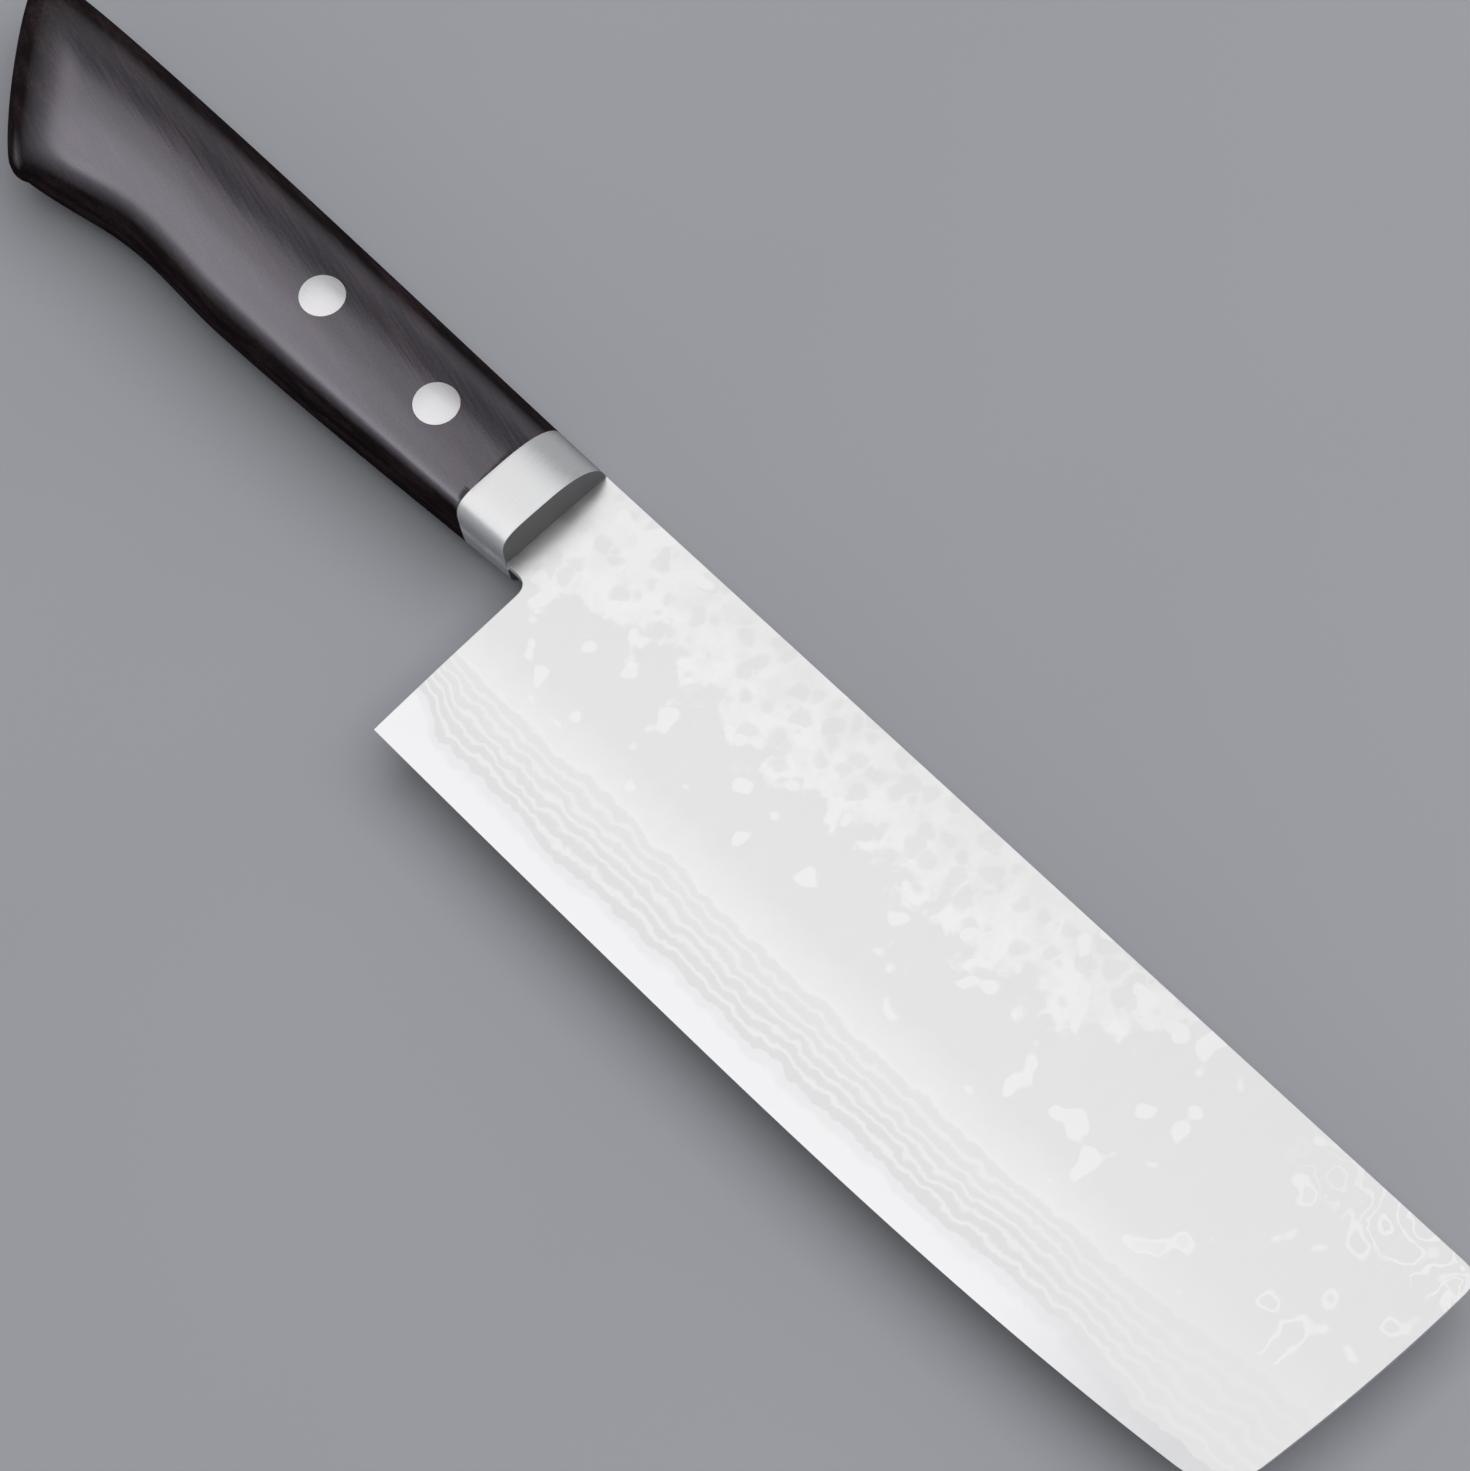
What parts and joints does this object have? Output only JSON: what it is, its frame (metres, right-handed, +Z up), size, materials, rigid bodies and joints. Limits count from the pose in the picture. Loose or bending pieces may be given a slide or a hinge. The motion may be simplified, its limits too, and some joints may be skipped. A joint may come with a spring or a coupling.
{
  "type": "nakiri knife",
  "caption": "Straight-edged vegetable knife: a tall, blunt-tipped blade of hard core steel between layered cladding, a steel bolster and dark riveted wood scales over a hidden tang.",
  "frame": {"origin": "middle of the knife's box, on the plane that it lies on, with its left face down", "axes": "+X along the knife towards the blade's tip, +Y from the cutting edge towards the spine, +Z up out of the right face"},
  "size_m": [0.299, 0.0508, 0.0198],
  "materials": {
    "core_steel": "finely polished hard steel",
    "cladding_steel": "satin layered stainless steel with a faint lighter figure",
    "bolster_steel": "satin polished stainless steel",
    "handle_wood": "black resin-filled laminated hardwood, satin",
    "rivet_steel": "ground flush and satin polished"
  },
  "bodies": {
    "root": {"blade_core": "core_steel", "right_cladding": "cladding_steel", "left_cladding": "cladding_steel", "right_bolster": "bolster_steel", "left_bolster": "bolster_steel", "right_scale": "handle_wood", "left_scale": "handle_wood", "front_rivet_pin": "rivet_steel", "front_rivet_sleeve": "rivet_steel", "rear_rivet_pin": "rivet_steel", "rear_rivet_sleeve": "rivet_steel"}
  },
  "joints": []
}
